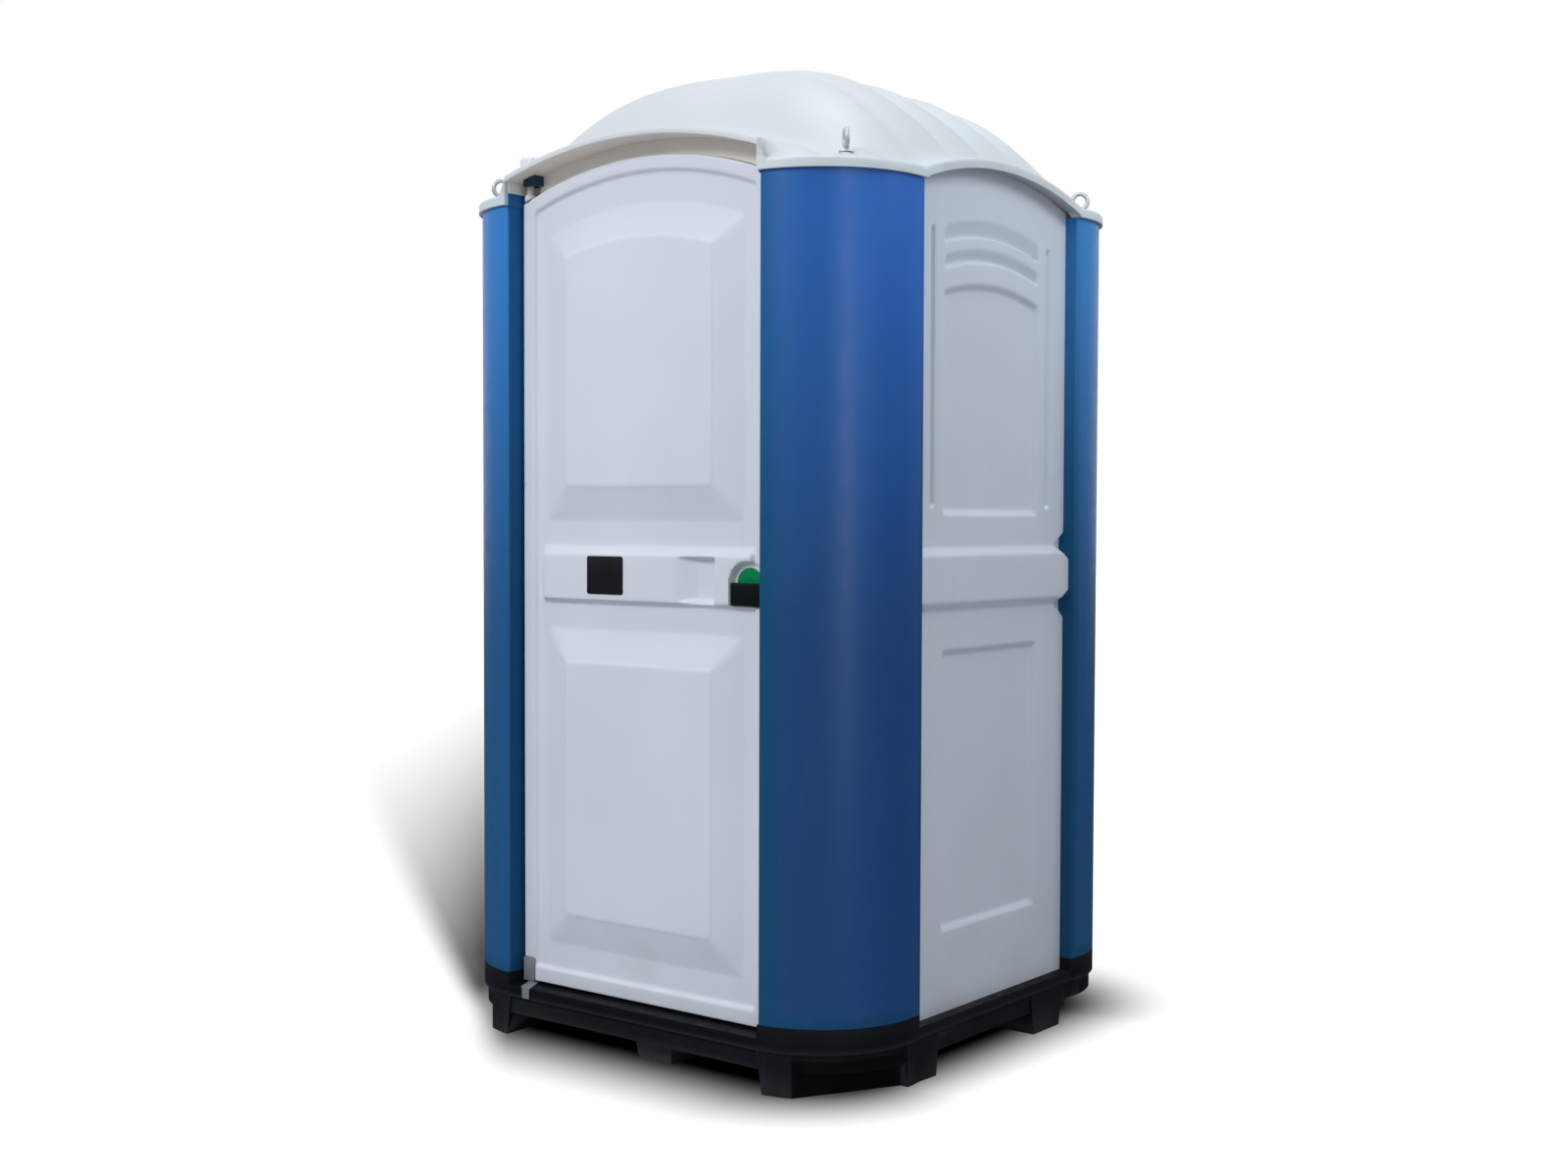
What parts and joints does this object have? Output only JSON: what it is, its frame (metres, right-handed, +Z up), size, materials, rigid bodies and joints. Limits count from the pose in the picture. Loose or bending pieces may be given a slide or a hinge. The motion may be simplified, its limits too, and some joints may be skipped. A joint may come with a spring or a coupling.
{
  "type": "portable toilet cabin",
  "caption": "Moulded portable toilet cabin with a domed roof, arched bevelled door, convex corner columns, louvred walls, lifting eyes and a palletised base.",
  "frame": {"origin": "on the ground under the middle of the cabin's plan", "axes": "+Z up, the door faces -Y, +X to the right as seen from outside the door"},
  "size_m": [1.166, 1.1964, 2.1613],
  "materials": {
    "panel_white": "fine moulded matt, pale bluish white",
    "roof_translucent": "translucent milky white, satin",
    "column_blue": "moulded satin, mid blue",
    "base_black": "scuffed moulded black",
    "floor_grey": "ribbed matt grey",
    "tank_black": "smooth black",
    "seat_black": "polished moulded black",
    "pipe_white": "extruded off-white",
    "fitting_grey": "grained dark grey",
    "paper": "soft rolled paper",
    "zinc_steel": "dull zinc plate",
    "latch_black": "dark moulded satin",
    "sign_black": "plain dark plate",
    "indicator_green": "satin green",
    "indicator_red": "satin red",
    "seal_rubber": "matt black"
  },
  "bodies": {
    "cabin": {"base_pallet": "base_black", "floor_pan": "floor_grey", "column_front_right": "column_blue", "column_front_left": "column_blue", "column_back_right": "column_blue", "column_back_left": "column_blue", "side_wall_right": "panel_white", "side_wall_left": "panel_white", "back_wall": "panel_white", "door_header": "panel_white", "roof_dome": "roof_translucent", "lifting_eyes": "zinc_steel", "eye_nuts": "zinc_steel", "hinge_bearing_top": "latch_black", "hinge_cap": "panel_white", "hinge_bracket_bottom": "zinc_steel", "strike_plate": "zinc_steel", "door_stop_strip": "seal_rubber", "waste_tank": "tank_black", "seat_hinge_posts": "seat_black", "seat_hinge_pin": "zinc_steel", "vent_pipe": "pipe_white", "vent_cap": "pipe_white", "vent_clips": "pipe_white", "paper_holder": "fitting_grey", "paper_spindle": "fitting_grey", "coat_hook": "fitting_grey"},
    "door": {"door_outer_skin": "panel_white", "door_inner_skin": "panel_white", "hinge_pin_top": "zinc_steel", "hinge_pin_bottom": "zinc_steel", "hinge_strap": "zinc_steel", "sign_plate": "sign_black", "latch_block": "latch_black", "latch_rose": "fitting_grey", "bolt_guide": "fitting_grey"},
    "latch": {"indicator_vacant": "indicator_green", "indicator_engaged": "indicator_red", "latch_spindle": "zinc_steel", "latch_knob": "fitting_grey"},
    "bolt": {"latch_bolt": "zinc_steel"},
    "seat": {"seat_ring": "seat_black"},
    "lid": {"seat_lid": "seat_black"},
    "roll": {"paper_roll": "paper"}
  },
  "joints": [
    {"name": "door_swing", "type": "hinge", "parent": "cabin", "child": "door", "pos_m": [-0.334, -0.54, 1], "axis": [0, 0, -1], "range_deg": [0, 90]},
    {"name": "latch_turn", "type": "hinge", "parent": "door", "child": "latch", "pos_m": [0.298, -0.525, 1.034], "axis": [0, 1, 0], "range_deg": [0, 180]},
    {"name": "bolt_slide", "type": "slide", "parent": "door", "child": "bolt", "axis": [1, 0, 0], "range_m": [0, 0.022]},
    {"name": "seat_lift", "type": "hinge", "parent": "cabin", "child": "seat", "pos_m": [0, 0.489, 0.576], "axis": [-1, 0, 0], "range_deg": [0, 90]},
    {"name": "lid_close", "type": "hinge", "parent": "cabin", "child": "lid", "pos_m": [0, 0.489, 0.576], "axis": [1, 0, 0], "range_deg": [0, 92]},
    {"name": "roll_spin", "type": "hinge", "parent": "cabin", "child": "roll", "pos_m": [-0.461, -0.04, 0.82], "axis": [0, 1, 0], "continuous": true}
  ],
  "couplings": [
    {"joint": "bolt_slide", "follows": "latch_turn", "m_per_rad": 0.0070028}
  ]
}
